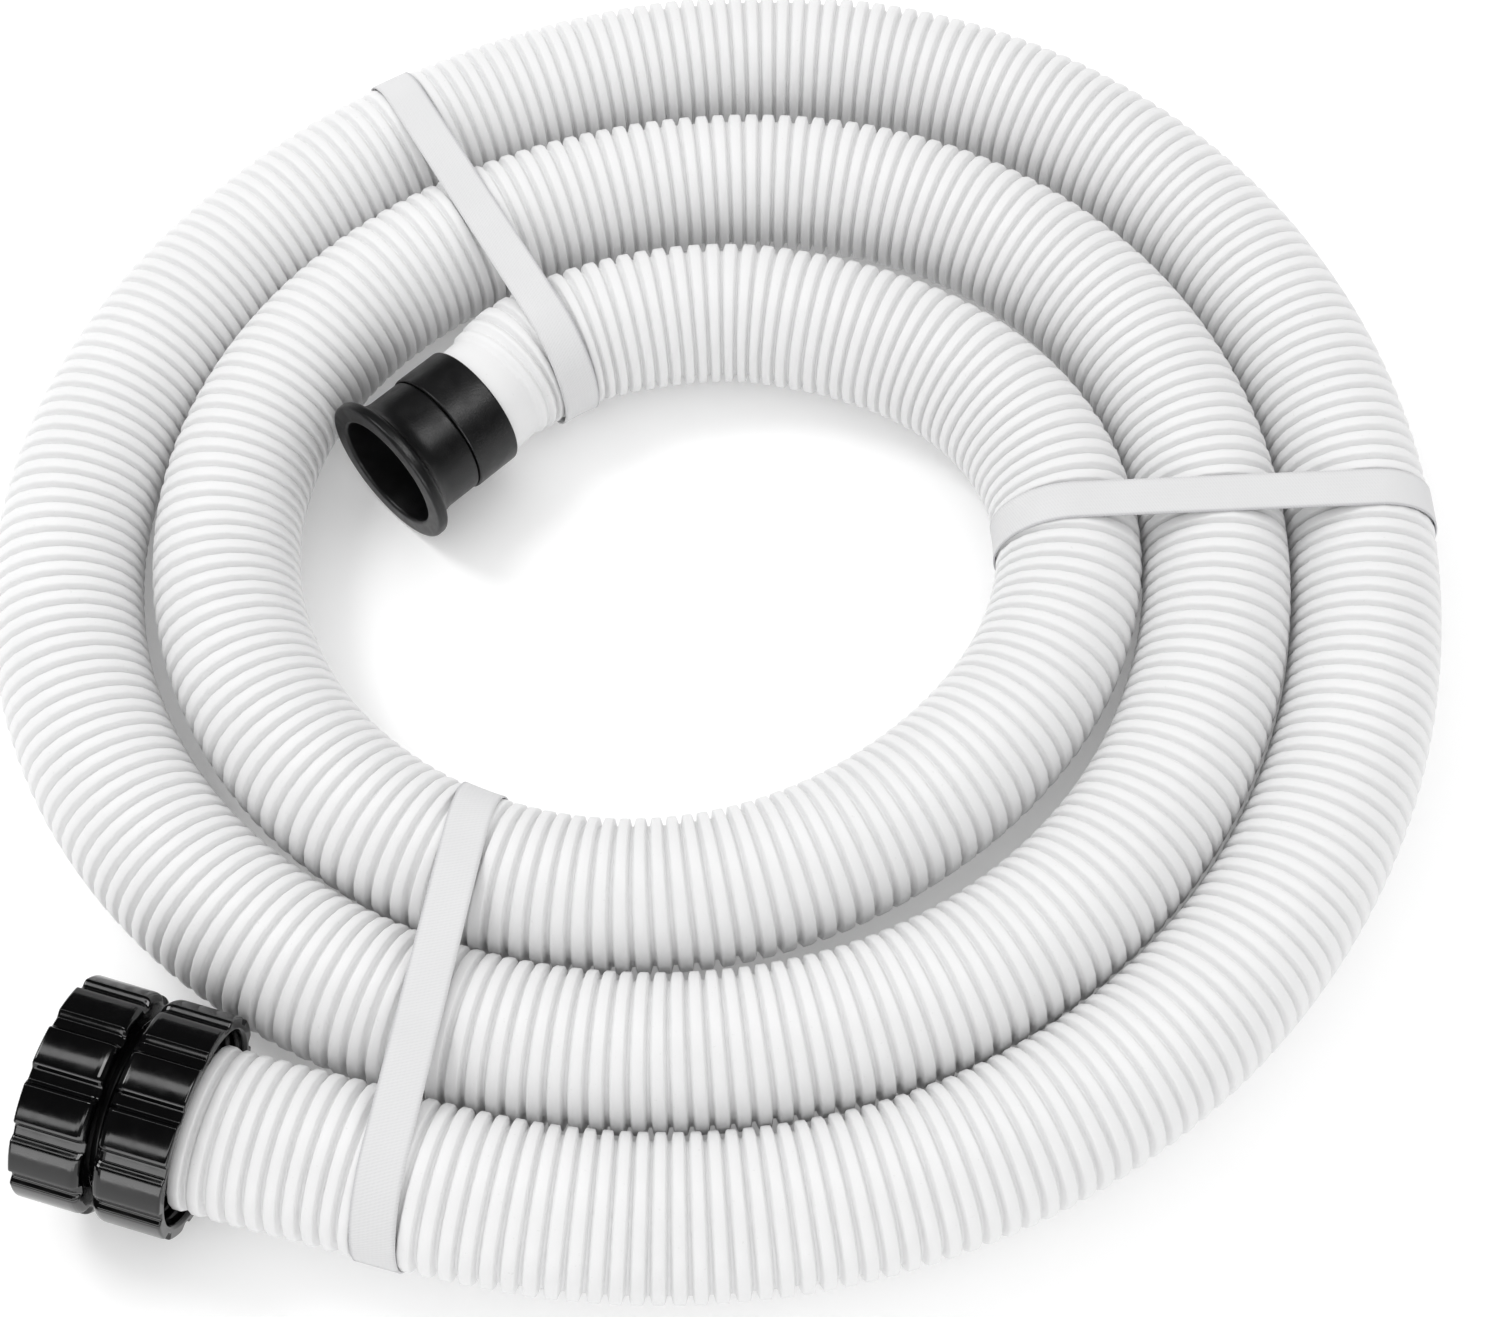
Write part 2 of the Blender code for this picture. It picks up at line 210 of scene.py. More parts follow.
# The materials' colours, and how deep their grain is.
HOSE_WHITES = ((0.790, 0.790, 0.792), (0.820, 0.820, 0.822))
# Painted light: a lighter white painted into the grooves, standing in for light shining through the thin wall
# there.
HOSE_GROOVE_PAINTED_LIGHT = (0.88, 0.88, 0.88)
HOSE_SPECK_GREY = (0.66, 0.66, 0.65)
HOSE_GRAIN_DEPTH = 0.00005
CUFF_BLACKS = ((0.004, 0.004, 0.0044), (0.007, 0.007, 0.0076))
# The grey of the painted highlight on the cuffs' sharp edges.
CUFF_EDGE_HIGHLIGHT_GREY = (0.030, 0.030, 0.032)
CUFF_GRAIN_DEPTH = 0.00006
NUT_BLACKS = ((0.0012, 0.0012, 0.0014), (0.0035, 0.0035, 0.0038))
# The grey of the painted highlight on the nuts' sharp edges.
NUT_EDGE_HIGHLIGHT_GREY = (0.025, 0.025, 0.027)
NUT_RIPPLE_DEPTH = 0.00008
STRAP_WHITES = ((0.725, 0.725, 0.73), (0.680, 0.680, 0.685))
# The grey of the painted shade in the weave's low places.
STRAP_WEAVE_SHADE_GREY = (0.60, 0.60, 0.61)
STRAP_BOUND_GREY = (0.50, 0.50, 0.52)
FLOOR_WHITES = ((0.92, 0.92, 0.92), (0.94, 0.94, 0.94))

# How fine the materials' patterns are: noise cells to the metre.
GRIT = 240
HOSE_MOTTLING = 26
# The patches in which the grooves' painted light is stronger.
HOSE_GROOVE_LIGHT_PATCHES = 70
HOSE_SPECKS = 900
HOSE_FINE_GRAIN = 1500
HOSE_COARSE_GRAIN = 160
CUFF_MOTTLING = 90
CUFF_GRAIN = 1800
NUT_HAZE = 300
NUT_RIPPLE = 70
STRAP_SOILING = 60
FLOOR_TINT = 4

# The pointiness at which a painted highlight starts on a black edge, and at which it is full.
EDGE_HIGHLIGHT_FROM = 0.53
EDGE_HIGHLIGHT_FULLY = 0.60

# The mesh coordinates. The hose's are the distance along it and the groove share, and a strap's are the
# distances along it and across it.
UV_NAME = "sides"

# The studio. Gloss sees dimmer surroundings and the softboxes, which are aimed at the nuts. Each softbox has
# its offset from there, its size and its brightness.
FLOOR_REACH = 3.0
FLOOR_GLOW = 0.14
SURROUNDINGS = 1.0
SURROUNDINGS_IN_GLOSS = 0.05
KEY_AT = (-0.95, 0.50, 1.5)
KEY_SIZE = 0.5
KEY_BRIGHTNESS = 9.0
SOFTBOX_AIM = Vector((-0.15, -0.12, 0.03))
SOFTBOXES = [
    ("softbox_front", (0.0, -0.974, 0.225), (1.4, 0.50), 3.8),
    ("softbox_strip", (0.0, -0.701, 0.713), (1.4, 0.12), 3.8),
    ("softbox_overhead", (0.0, 0.276, 0.961), (1.4, 0.14), 3.8),
    ("softbox_right", (0.504, 0.052, 0.861), (0.36, 0.36), 7.0),
]


# ---------------------------------------------------------------- camera and route


def make_camera():
    """The scene's camera, level from side to side."""
    camera = bpy.data.objects.new("camera", bpy.data.cameras.new("camera"))
    bpy.context.scene.collection.objects.link(camera)
    away = Vector((0, -math.cos(CAMERA_ELEVATION), math.sin(CAMERA_ELEVATION)))
    camera.location = CAMERA_TARGET + away * CAMERA_DISTANCE
    camera.rotation_euler = (math.pi / 2 - CAMERA_ELEVATION, 0, 0)
    camera.data.lens = CAMERA_LENS_MM
    camera.data.clip_start = CAMERA_CLIP_START
    bpy.context.scene.camera = camera


def end_frame(joint_name):
    """A cuff's own frame, from its joint: the origin in its face and +Z along the axis, outward."""
    joint = next(joint for joint in frame["joints"] if joint["name"] == joint_name)
    outward = Vector(joint["axis"]).normalized()
    across = Vector((0, 0, 1)).cross(outward).normalized()
    down = outward.cross(across)
    place = Matrix((across, down, outward)).transposed().to_4x4()
    place.translation = Vector(joint["pos_m"])
    return place


def at_turn(parts, turn):
    """A value that changes smoothly from turn to turn, from its start, gain and bend."""
    start, gain, bend = parts
    return start + gain * turn + bend * turn**2


def coil_point(angle):
    """The coil's centreline at an angle, which falls by a full turn for each turn outward."""
    turn = (FIRST_TURN_ANGLE - angle) / math.tau
    radius = at_turn(COIL_RADIUS, turn)
    for lobes, (cosine, sine) in COIL_WAVES.items():
        radius += at_turn(cosine, turn) * math.cos(lobes * angle)
        radius += at_turn(sine, turn) * math.sin(lobes * angle)
    across = COIL_CENTER + radius * Vector((math.cos(angle), math.sin(angle)))
    return Vector((*across, HOSE_HEIGHT))


def route_points(inner, outer):
    """The points that the hose's centreline passes through, from its inner tip to its outer one."""
    steps = round((COIL_START - COIL_END) / COIL_STEP)
    coil = [coil_point(COIL_START - COIL_STEP * i) for i in range(steps + 1)]
    return [
        inner @ Vector((0, 0, -HOSE_TIP_AT)),
        inner @ Vector((0, 0, -CUFF_LENGTH)),
        *map(Vector, INNER_RUN),
        *coil,
        *map(Vector, OUTER_RUN),
        outer @ Vector((0, 0, -STRAIGHT_END)),
        outer @ Vector((0, 0, -CUFF_LENGTH)),
        outer @ Vector((0, 0, -HOSE_TIP_AT)),
    ]


def tangent_at(before, here, after):
    """The curve's direction at a point: its two spans' directions, where the shorter span's weighs more."""
    back = (here - before).length
    ahead = (after - here).length
    return ((here - before) / back * ahead + (after - here) / ahead * back) / (back + ahead)


def smooth_route(points):
    """A fine polyline on the smooth curve through the points, and the distance travelled to each."""
    padded = [points[0] * 2 - points[1], *points, points[-1] * 2 - points[-2]]
    fine = []
    for before, start, end, after in zip(padded, padded[1:], padded[2:], padded[3:]):
        span = (end - start).length
        leave = tangent_at(before, start, end)
        arrive = tangent_at(start, end, after)
        for i in range(FINE_STEPS):
            share = i / FINE_STEPS
            fine.append(
                start * (2 * share**3 - 3 * share**2 + 1)
                + leave * span * (share**3 - 2 * share**2 + share)
                + end * (3 * share**2 - 2 * share**3)
                + arrive * span * (share**3 - share**2)
            )
    fine.append(points[-1])
    line = np.array([list(point) for point in fine])
    steps = np.linalg.norm(np.diff(line, axis=0), axis=1)
    return line, np.concatenate([[0.0], np.cumsum(steps)])


def along(route, distances):
    """Points on the route at these distances along it."""
    line, travelled = route
    return np.stack([np.interp(distances, travelled, line[:, i]) for i in range(3)], axis=1)


def directions(route, distances):
    """The route's unit directions at these distances along it."""
    run = along(route, distances + TANGENT_REACH) - along(route, distances - TANGENT_REACH)
    return run / np.linalg.norm(run, axis=1, keepdims=True)


# ---------------------------------------------------------------- meshes


def add_mesh(name, vertices, faces, material, place=None, uv=None):
    """A smooth mesh object. The optional coordinates are given one pair to a vertex."""
    mesh = bpy.data.meshes.new(name)
    mesh.from_pydata([tuple(vertex) for vertex in vertices], [], faces)
    if uv is not None:
        layer = mesh.uv_layers.new(name=UV_NAME)
        corners = np.zeros(len(mesh.loops), np.int32)
        mesh.loops.foreach_get("vertex_index", corners)
        layer.data.foreach_set("uv", np.asarray(uv, np.float32)[corners].ravel())
    mesh.shade_smooth()
    mesh.materials.append(material)
    obj = bpy.data.objects.new(name, mesh)
    bpy.context.scene.collection.objects.link(obj)
    if place is not None:
        obj.matrix_world = place
    return obj


def ring_faces(rings, sides, closed):
    """Quads between neighbouring rings of points. A closed run joins its last ring to its first."""
    faces = []
    for i in range(rings if closed else rings - 1):
        ring = i * sides
        next_ring = (i + 1) % rings * sides
        for side in range(sides):
            next_side = (side + 1) % sides
            faces.append((ring + side, ring + next_side, next_ring + next_side, next_ring + side))
    return faces


def rib_rows(length):
    """Rows of (distance, radius, groove share) along the outside: a plain end, then ribs to the other end."""
    crest = HOSE_OD / 2
    plain = PLAIN_END_OD / 2
    rows = [(0.0, plain, 0.0), (SLEEVE, plain, 0.0)]
    rows += [(SLEEVE + past, plain + height, groove) for past, height, groove in INNER_END_SHAPE]
    first = SLEEVE + INNER_RIBS_AT
    last = length - SLEEVE - OUTER_RIBS_AT
    ribs = round((last - first) / RIB_PITCH)
    pitch = (last - first) / ribs
    for rib in range(ribs):
        for phase, groove in RIB_SHAPE:
            at = first + (rib + phase) * pitch
            filled = min(1.0, (at - first) / SLIM_LENGTH)
            top = crest * (SLIM_SHARE + (1 - SLIM_SHARE) * filled)
            rows.append((at, top - RIB_DEPTH * groove, groove))
    last_groove_at = last - RIB_SHAPE[1][0] * pitch
    rows += [(last_groove_at, crest - RIB_DEPTH, 1.0), (last, plain, 1.0), (length, plain, 0.0)]
    return rows


def make_hose(route, material):
    """One closed skin: up the bore at one end, along the ribs outside, and down the bore at the other."""
    length = route[1][-1]
    wall = BORE / 2 + CLEARANCE
    depths = np.linspace(0, BORE_DEPTH, BORE_STEPS)
    near_bore = [(depth, wall, 0.0) for depth in depths[::-1]]
    far_bore = [(length - depth, wall, 0.0) for depth in depths]
    distances, radii, grooves = np.array(near_bore + rib_rows(length) + far_bore).T
    ahead = directions(route, distances)
    side = np.cross(ahead, (0.0, 0.0, 1.0))
    side /= np.linalg.norm(side, axis=1, keepdims=True)
    up = np.cross(side, ahead)
    turns = np.linspace(0, math.tau, HOSE_SIDES, endpoint=False)
    spokes = side[:, None] * np.cos(turns)[None, :, None] + up[:, None] * np.sin(turns)[None, :, None]
    points = along(route, distances)[:, None] + spokes * radii[:, None, None]
    first_ring = range(HOSE_SIDES)
    last_ring = range((len(distances) - 1) * HOSE_SIDES, len(distances) * HOSE_SIDES)
    faces = [tuple(reversed(face)) for face in ring_faces(len(distances), HOSE_SIDES, False)]
    faces += [tuple(first_ring), tuple(reversed(last_ring))]
    uv = np.stack([np.repeat(distances, HOSE_SIDES), np.repeat(grooves, HOSE_SIDES)], axis=1)
    return add_mesh("ribbed_hose", points.reshape(-1, 3), faces, material, uv=uv)


def rounded(corners, radii):
    """A closed (radius, back) outline with each corner turned into an arc of about its given radius."""
    outline = []
    count = len(corners)
    for i, (corner, radius) in enumerate(zip(corners, radii)):
        here = np.array(corner)
        before = np.array(corners[i - 1]) - here
        after = np.array(corners[(i + 1) % count]) - here
        if radius == 0:
            outline.append(tuple(here))
            continue
        reach = min(radius, ARC_SHARE * np.linalg.norm(before), ARC_SHARE * np.linalg.norm(after))
        start = here + before / np.linalg.norm(before) * reach
        end = here + after / np.linalg.norm(after) * reach
        for share in np.linspace(0, 1, ARC_STEPS):
            outline.append(tuple(start * (1 - share) ** 2 + here * 2 * share * (1 - share) + end * share**2))
    return held_flat(outline)


def held_flat(outline):
    """The outline with a point near both ends of each long side, which keeps the side's shading flat."""
    held = []
    for here, after in zip(outline, outline[1:] + outline[:1]):
        run = math.dist(here, after)
        held.append(here)
        if run > HOLD_SIDES_OVER:
            step = (np.array(after) - here) / run * HOLD_AT
            held += [tuple(here + step), tuple(after - step)]
    return held


def ring_points(radii, back, angles):
    """A ring round the axis, this far back from the face."""
    return np.stack([radii * np.cos(angles), radii * np.sin(angles), np.full(len(angles), -back)], axis=1)


def turned(name, outline, place, material):
    """A closed skin turned from its outline."""
    angles = np.linspace(0, math.tau, CUFF_SIDES, endpoint=False)
    vertices = [ring_points(np.full(CUFF_SIDES, radius), back, angles) for radius, back in outline]
    faces = ring_faces(len(outline), CUFF_SIDES, True)
    return add_mesh(name, np.concatenate(vertices), faces, material, place)


def make_barrel(name, place, material):
    """The flanged barrel, with the spigot that turns in the collar."""
    flange = FLANGE_OD / 2
    barrel = BARREL_OD / 2
    mouth = CUFF_BORE / 2
    bore = BORE / 2
    spigot = bore + SPIGOT_WALL
    flare = [
        (barrel + (flange - barrel) * left, FLANGE_THICKNESS + FLARE_LENGTH * share)
        for share, left in FLARE_CURVE
    ]
    corners = [
        ((flange, 0.0), FLANGE_ROUND),
        ((flange, FLANGE_THICKNESS), FLANGE_ROUND),
        (flare[0], FLANGE_ROUND),
        (flare[1], FLARE_ROUND),
        ((barrel, FLANGE_THICKNESS + FLARE_LENGTH), FLARE_ROUND),
        ((barrel, COLLAR_AT - CLEARANCE), BARREL_END_ROUND),
        ((spigot, COLLAR_AT - CLEARANCE), 0.0),
        ((spigot, COLLAR_AT + SPIGOT_LENGTH), SPIGOT_ROUND),
        ((bore, COLLAR_AT + SPIGOT_LENGTH), SPIGOT_ROUND),
        ((bore, COLLAR_AT), BORE_ROUND),
        ((mouth, COLLAR_AT - BORE_TAPER), BORE_ROUND),
        ((mouth, 0.0), FLANGE_ROUND),
    ]
    return turned(name, rounded(*zip(*corners)), place, material)


def make_collar(name, place, material):
    """The collar on the hose's end, with the bearing that the spigot turns in."""
    outside = COLLAR_OD / 2
    bearing = BORE / 2 + SPIGOT_WALL + CLEARANCE
    socket = PLAIN_END_OD / 2 + CLEARANCE
    corners = [
        ((outside, COLLAR_AT), COLLAR_FRONT_ROUND),
        ((outside, CUFF_LENGTH), COLLAR_BACK_ROUND),
        ((socket, CUFF_LENGTH), SOCKET_ROUND),
        ((socket, HOSE_TIP_AT), 0.0),
        ((bearing, HOSE_TIP_AT), SPIGOT_ROUND),
        ((bearing, COLLAR_AT), SPIGOT_ROUND),
    ]
    return turned(name, rounded(*zip(*corners)), place, material)


def lobe_angles():
    """Angles round the nut, closer together on the lobes' sides, where the surface bends."""
    flat = np.linspace(0, LOBE_FLAT, LOBE_FLAT_POINTS)
    slope = np.linspace(LOBE_FLAT, LOBE_FLAT + LOBE_SLOPE, LOBE_SLOPE_POINTS)[1:]
    valley = np.linspace(LOBE_FLAT + LOBE_SLOPE, LOBE_PITCH / 2, LOBE_VALLEY_POINTS)[1:]
    half = np.concatenate([flat, slope, valley])
    lobe = np.concatenate([-half[:0:-1], half[:-1]])
    return np.concatenate([lobe + i * LOBE_PITCH for i in range(LOBES)])


def lobe_share(angles):
    """1 on a lobe's top, 0 in a valley, and a smooth step between."""
    off = np.abs((angles + LOBE_PITCH / 2) % LOBE_PITCH - LOBE_PITCH / 2)
    share = np.clip((off - LOBE_FLAT) / LOBE_SLOPE, 0, 1)
    return 1 - share * share * (3 - 2 * share)


def make_nut(name, place, material):
    """A lobed ring with a shoulder at its back and a thread in its bore."""
    top = NUT_OD / 2
    lobe_height = (NUT_OD - NUT_VALLEY_OD) / 2
    bore = NUT_BORE / 2
    hole = SHOULDER_HOLE / 2
    shoulder = NUT_LENGTH - SHOULDER_THICKNESS
    corners = [
        ((bore + NUT_EDGE, 0.0), 0.0),
        ((top, 0.0), NUT_EDGE),
        ((top, NUT_LENGTH), SHOULDER_ROUND),
        ((hole, NUT_LENGTH), NUT_EDGE),
        ((hole, shoulder), NUT_EDGE / 2),
        ((bore, shoulder), 0.0),
        ((bore, NUT_EDGE), 0.0),
    ]
    outline = rounded(*zip(*corners))
    angles = lobe_angles()
    valleys = lobe_height * (1 - lobe_share(angles))
    vertices = []
    for radius, back in outline[:-2]:
        reach = min(1.0, max(0.0, (radius - bore - NUT_EDGE) / (top - bore - 2 * NUT_EDGE)))
        vertices.append(ring_points(radius - valleys * reach, back, angles))
    for back in np.arange(shoulder - CLEARANCE, NUT_EDGE, -THREAD_PITCH / THREAD_STEPS):
        wave = 0.5 - 0.5 * np.cos(math.tau * back / THREAD_PITCH + angles)
        fade = min(1.0, (shoulder - back) / THREAD_PITCH, (back - NUT_EDGE) / THREAD_PITCH)
        vertices.append(ring_points(bore - THREAD_DEPTH * wave * fade, back, angles))
    faces = ring_faces(len(vertices), len(angles), True)
    return add_mesh(name, np.concatenate(vertices), faces, material, place)


def crossings(route, inside, outside):
    """The distances along the route at which it crosses a line, seen from above."""
    line, travelled = route
    found = []
    for i, (here, after) in enumerate(zip(line, line[1:])):
        start = Vector(here[:2])
        end = Vector(after[:2])
        hit = intersect_line_line_2d(start, end, inside, outside)
        if hit:
            share = (hit - start).length / (end - start).length
            found.append(travelled[i] + share * (travelled[i + 1] - travelled[i]))
    return found


def strap_outline(route, places, gap):
    """A taut loop round the turns: in each direction it touches the turn that reaches furthest."""
    middles = along(route, places)
    sides = directions(route, places)[:, :2][:, ::-1] * (1, -1)
    sides /= np.linalg.norm(sides, axis=1, keepdims=True)
    out = middles[-1, :2] - middles[0, :2]
    out /= np.linalg.norm(out)
    height = HOSE_OD / 2 + gap
    widths = height / np.abs(sides @ out)
    angles = math.tau * (np.arange(STRAP_STEPS) + 0.5) / STRAP_STEPS
    outline = []
    for angle in angles:
        cosine = math.cos(angle)
        sine = math.sin(angle)
        scale = np.hypot(widths * cosine, height * sine)
        level = widths**2 * cosine / scale
        rise = height**2 * sine / scale
        points = np.column_stack([middles[:, :2] + out * level[:, None], middles[:, 2] + rise])
        reach = points @ np.array([out[0] * cosine, out[1] * cosine, sine])
        outline.append(points[int(np.argmax(reach))])
    outline = np.array(outline)
    outline[:, 2] = np.maximum(outline[:, 2], FLOOR + STRAP_THICKNESS)
    return outline


def make_strap(name, route, material):
    """A strap, and the length of its loop."""
    places = np.array(crossings(route, *STRAPS[name]))
    across = np.linspace(-STRAP_WIDTH / 2, STRAP_WIDTH / 2, STRAP_ROWS)
    rows = [strap_outline(route, places + shift, STRAP_GAP / 2) for shift in across]
    middle = rows[STRAP_ROWS // 2]
    steps = np.linalg.norm(np.roll(middle, -1, axis=0) - middle, axis=1)
    travelled = np.concatenate([[0.0], np.cumsum(steps)[:-1]])
    faces = ring_faces(STRAP_ROWS, STRAP_STEPS, False)
    uv = np.concatenate([np.column_stack([travelled, np.full(STRAP_STEPS, shift)]) for shift in across])
    strap = add_mesh(name + "_webbing", np.concatenate(rows), faces, material, uv=uv)
    thicken = strap.modifiers.new("thickness", "SOLIDIFY")
    thicken.thickness = WEBBING_THICKNESS
    thicken.offset = 1.0
    return strap, steps.sum()


# ---------------------------------------------------------------- materials


def new_material(name, specular, roughness):
    """A material, its tree, its shader and its coordinates. Fine grit varies its roughness in this range."""
    material = bpy.data.materials.new(name)
    material.use_nodes = True
    tree = material.node_tree
    shader = tree.nodes["Principled BSDF"]
    shader.inputs["Specular IOR Level"].default_value = specular
    where = add_node(tree, "TexCoord", {}, {}, "Object")
    link(tree, spread(tree, noise(tree, where, GRIT, 5), *roughness), shader.inputs["Roughness"])
    return material, tree, shader, where


def add_node(tree, kind, settings, values, output=0):
    """A new node's output. Each value is a number, a colour or another node's output."""
    node = tree.nodes.new("ShaderNode" + kind)
    for name, setting in settings.items():
        setattr(node, name, setting)
    for name, value in values.items():
        link(tree, value, node.inputs[name])
    return node.outputs[output]


def link(tree, value, socket):
    if isinstance(value, bpy.types.NodeSocket):
        tree.links.new(value, socket)
    else:
        socket.default_value = value


def noise(tree, where, scale, detail=3):
    return add_node(tree, "TexNoise", {}, {"Vector": where, "Scale": scale, "Detail": detail})


def arithmetic(tree, operation, *values):
    return add_node(tree, "Math", {"operation": operation}, dict(enumerate(values)))


def spread(tree, value, low, high, start=0.3, end=0.7):
    """The value, which runs from start to end, spread from low to high."""
    ends = {"Value": value, "From Min": start, "From Max": end, "To Min": low, "To Max": high}
    return add_node(tree, "MapRange", {}, ends)


def blended(tree, share, first, second):
    """Colours blended by a share: all first at 0, and all second at 1."""
    values = {"Factor": share, 6: (*first, 1.0) if isinstance(first, tuple) else first, 7: (*second, 1.0)}
    return add_node(tree, "Mix", {"data_type": "RGBA"}, values, 2)


def painted_edge_highlight(tree, most):
    """How much painted highlight each place gets: none on flat faces, and at most this share on sharp edges.
    """
    pointiness = add_node(tree, "NewGeometry", {}, {}, "Pointiness")
    return spread(tree, pointiness, 0, most, EDGE_HIGHLIGHT_FROM, EDGE_HIGHLIGHT_FULLY)


def add_bump(tree, shader, height, depth):
    normal = add_node(tree, "Bump", {}, {"Height": height, "Distance": depth, "Strength": 1.0})
    link(tree, normal, shader.inputs["Normal"])


def uv_parts(tree):
    """The two parts of the mesh's own coordinates."""
    both = add_node(tree, "UVMap", {"uv_map": UV_NAME}, {})
    return [add_node(tree, "SeparateXYZ", {}, {"Vector": both}, i) for i in range(2)]


def hose_material():
    """Soft white polyethylene: finely grained, faintly mottled, and with painted light that lightens its
    grooves in patches.
    """
    material, tree, shader, where = new_material("hose_white", specular=0.30, roughness=(0.44, 0.56))
    groove = uv_parts(tree)[1]
    mottled = spread(tree, noise(tree, where, HOSE_MOTTLING), 0, 1)
    color = blended(tree, mottled, *HOSE_WHITES)
    # Painted light: the grooves are lightened towards a lighter white, more in some patches than in others.
    groove_light_patches = spread(tree, noise(tree, where, HOSE_GROOVE_LIGHT_PATCHES), low=0.30, high=0.60)
    color = blended(tree, arithmetic(tree, "MULTIPLY", groove, groove_light_patches), color, HOSE_GROOVE_PAINTED_LIGHT)
    specks = spread(tree, noise(tree, where, HOSE_SPECKS, 2), low=0, high=0.5, start=0.70, end=0.78)
    link(tree, blended(tree, specks, color, HOSE_SPECK_GREY), shader.inputs["Base Color"])
    fine_grain = noise(tree, where, HOSE_FINE_GRAIN)
    coarse_grain = noise(tree, where, HOSE_COARSE_GRAIN)
    add_bump(tree, shader, arithmetic(tree, "ADD", fine_grain, coarse_grain), HOSE_GRAIN_DEPTH)
    return material


def cuff_material():
    """Satin black plastic with a fine spark-eroded grain, and a painted highlight that makes its edges a
    little lighter.
    """
    material, tree, shader, where = new_material("cuff_black", specular=0.35, roughness=(0.30, 0.42))
    edges = painted_edge_highlight(tree, most=0.6)
    mottled = spread(tree, noise(tree, where, CUFF_MOTTLING), 0, 1)
    black = blended(tree, mottled, *CUFF_BLACKS)
    # Painted highlight: the sharp edges are lightened towards grey.
    link(tree, blended(tree, edges, black, CUFF_EDGE_HIGHLIGHT_GREY), shader.inputs["Base Color"])
    add_bump(tree, shader, noise(tree, where, CUFF_GRAIN), CUFF_GRAIN_DEPTH)
    return material


def nut_material():
    """Glossy black plastic: a faint moulded ripple in the gloss, fine haze and a painted highlight on the
    lobe edges.
    """
    material, tree, shader, where = new_material("nut_black", specular=0.50, roughness=(0.08, 0.17))
    edges = painted_edge_highlight(tree, most=0.5)
    haze = spread(tree, noise(tree, where, NUT_HAZE, 5), low=0, high=0.3)
    black = blended(tree, haze, *NUT_BLACKS)
    # Painted highlight: the sharp edges are lightened towards grey.
    link(tree, blended(tree, edges, black, NUT_EDGE_HIGHLIGHT_GREY), shader.inputs["Base Color"])
    add_bump(tree, shader, noise(tree, where, NUT_RIPPLE, 1), NUT_RIPPLE_DEPTH)
    return material


def strap_material():
    """Flat woven webbing: slanted yarns across it with painted shade between them, a bound edge, and soiling
    in patches.
    """
    material, tree, shader, where = new_material("strap_white", specular=0.15, roughness=(0.66, 0.80))
    along_strap, across_strap = uv_parts(tree)
    slanted = arithmetic(tree, "MULTIPLY_ADD", across_strap, YARN_SLANT, along_strap)
    yarns = arithmetic(tree, "PINGPONG", arithmetic(tree, "DIVIDE", slanted, YARN_PITCH), 1.0)
    rows = arithmetic(tree, "PINGPONG", arithmetic(tree, "DIVIDE", across_strap, YARN_ROW), 1.0)
    row_part = arithmetic(tree, "MULTIPLY", rows, 1 - YARN_SHARE)
    weave = arithmetic(tree, "MULTIPLY_ADD", yarns, YARN_SHARE, row_part)
    soiled = spread(tree, noise(tree, where, STRAP_SOILING), low=0, high=0.5)
    color = blended(tree, soiled, *STRAP_WHITES)
    # Painted shade: the weave's low places are darkened towards grey.
    weave_shade = spread(tree, weave, low=0.35, high=0, start=0.1, end=0.6)
    color = blended(tree, weave_shade, color, STRAP_WEAVE_SHADE_GREY)
    half = STRAP_WIDTH / 2
    edge = spread(tree, across_strap, low=0, high=0.5, start=half - BOUND_FROM, end=half - BOUND_FULLY)
    link(tree, blended(tree, edge, color, STRAP_BOUND_GREY), shader.inputs["Base Color"])
    add_bump(tree, shader, weave, WEAVE_DEPTH)
    return material


def floor_material():
    """Seamless studio paper, lit from within a little so that it stays white round a soft shadow."""
    material, tree, shader, where = new_material("floor_white", specular=0.0, roughness=(0.85, 0.95))
    tint = spread(tree, noise(tree, where, FLOOR_TINT), 0, 1)
    link(tree, blended(tree, tint, *FLOOR_WHITES), shader.inputs["Base Color"])
    shader.inputs["Emission Color"].default_value = (1.0, 1.0, 1.0, 1.0)
    shader.inputs["Emission Strength"].default_value = FLOOR_GLOW
    return material


# ---------------------------------------------------------------- setting


def make_floor():
    """A wide floor under the coil, which is scenery and no part of it."""
    corners = [(x * FLOOR_REACH, y * FLOOR_REACH, FLOOR) for x, y in ((-1, -1), (1, -1), (1, 1), (-1, 1))]
    floor = add_mesh("floor", corners, [(0, 1, 2, 3)], floor_material())


def add_area_light(name, position, target, size, brightness):
    """A rectangular light. Its brightness is its radiance, with 1 the same as the white surroundings."""
    light = bpy.data.lights.new(name, "AREA")
    light.shape = "RECTANGLE"
    light.size, light.size_y = size
    light.energy = brightness * math.pi * size[0] * size[1]
    lamp = bpy.data.objects.new(name, light)
    bpy.context.scene.collection.objects.link(lamp)
    lamp.location = position
    aim = Vector(target) - Vector(position)
    lamp.rotation_euler = aim.to_track_quat("-Z", "Y").to_euler()
    return lamp


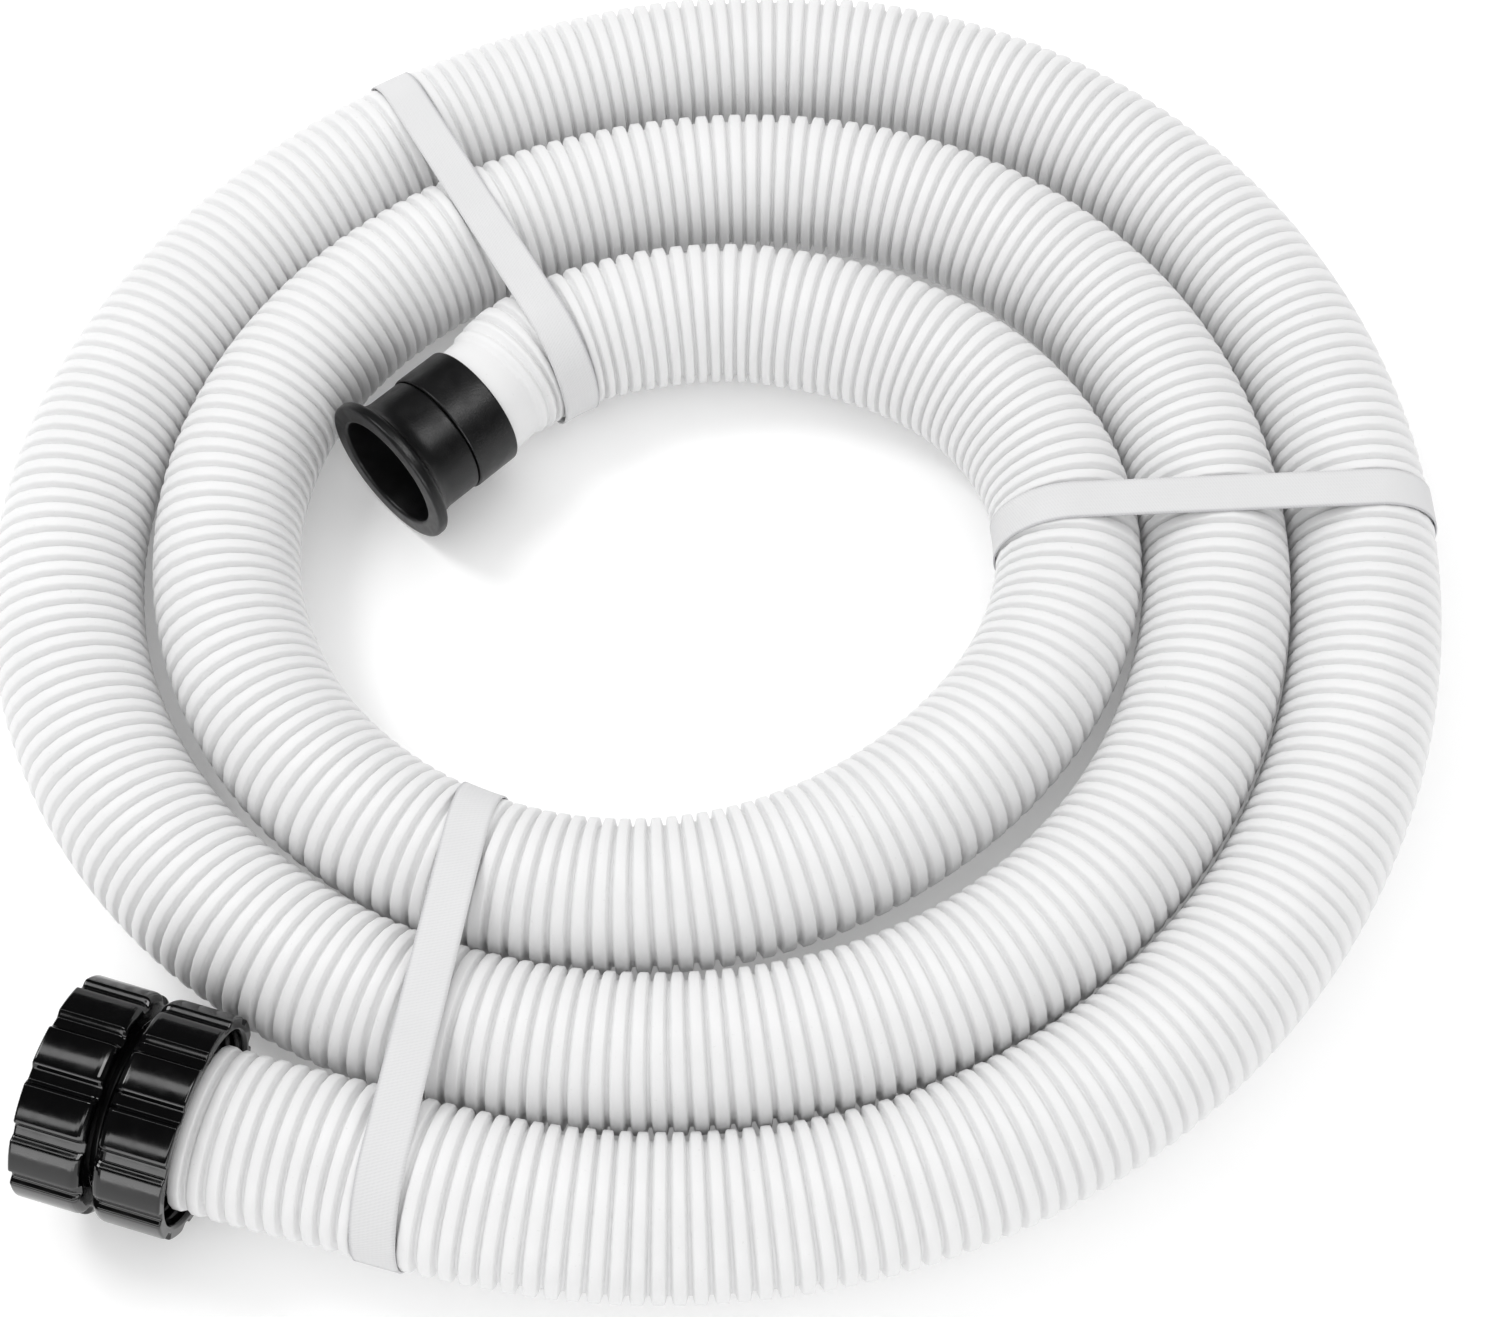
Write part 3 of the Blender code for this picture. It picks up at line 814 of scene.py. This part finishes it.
def light_scene():
    """White surroundings, one soft key light, and softboxes that only gloss sees."""
    world = bpy.data.worlds.new("studio")
    bpy.context.scene.world = world
    world.use_nodes = True
    tree = world.node_tree
    in_gloss = add_node(tree, "LightPath", {}, {}, "Is Glossy Ray")
    strength = spread(tree, in_gloss, SURROUNDINGS, SURROUNDINGS_IN_GLOSS, 0, 1)
    background = tree.nodes["Background"]
    background.inputs["Color"].default_value = (1, 1, 1, 1)
    link(tree, strength, background.inputs["Strength"])
    add_area_light("key", KEY_AT, (0, 0, 0), (KEY_SIZE, KEY_SIZE), KEY_BRIGHTNESS)
    for name, direction, size, brightness in SOFTBOXES:
        box = add_area_light(name, SOFTBOX_AIM + Vector(direction), SOFTBOX_AIM, size, brightness)
        box.visible_diffuse = False
    bpy.context.scene.view_settings.view_transform = "Standard"


# ---------------------------------------------------------------- assembly


def declare(piece, body, node):
    """Says which body a piece rides on and which CAD node it replaces."""
    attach(piece, body)
    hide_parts(node)


def place_cuffs(ends):
    material = cuff_material()
    for end, place in ends:
        barrel = make_barrel(end + "_cuff_barrel", place, material)
        declare(barrel, end + "_cuff", end + "_flanged_barrel")
        collar = make_collar(end + "_cuff_collar", place, material)
        declare(collar, "coil", end + "_collar")


def place_nuts(outer):
    """The two nuts, with their shoulders together. The front one bears on the flange."""
    material = nut_material()
    front_place = outer @ Matrix.Translation((0, 0, -OUTER_NUT_MOUTH_AT)) @ Matrix.Rotation(LOBE_TURN, 4, "Z")
    flip = Matrix.Rotation(math.pi, 4, "X")
    rear_place = front_place @ Matrix.Translation((0, 0, -2 * NUT_LENGTH - NUT_GAP)) @ flip
    declare(make_nut("front_union_nut", front_place, material), "front_nut", "outer_nut")
    declare(make_nut("rear_union_nut", rear_place, material), "nuts", "spare_nut")


def place_hose(route):
    hose = make_hose(route, hose_material())
    declare(hose, "coil", "hose")


def place_straps(route):
    material = strap_material()
    for name in STRAPS:
        strap, loop = make_strap(name, route, material)
        declare(strap, "coil", name)


def build():
    make_camera()
    inner = end_frame("inner_cuff_swivel")
    outer = end_frame("outer_cuff_swivel")
    route = smooth_route(route_points(inner, outer))
    place_cuffs((("inner", inner), ("outer", outer)))
    place_nuts(outer)
    place_hose(route)
    place_straps(route)
    make_floor()
    light_scene()


build()
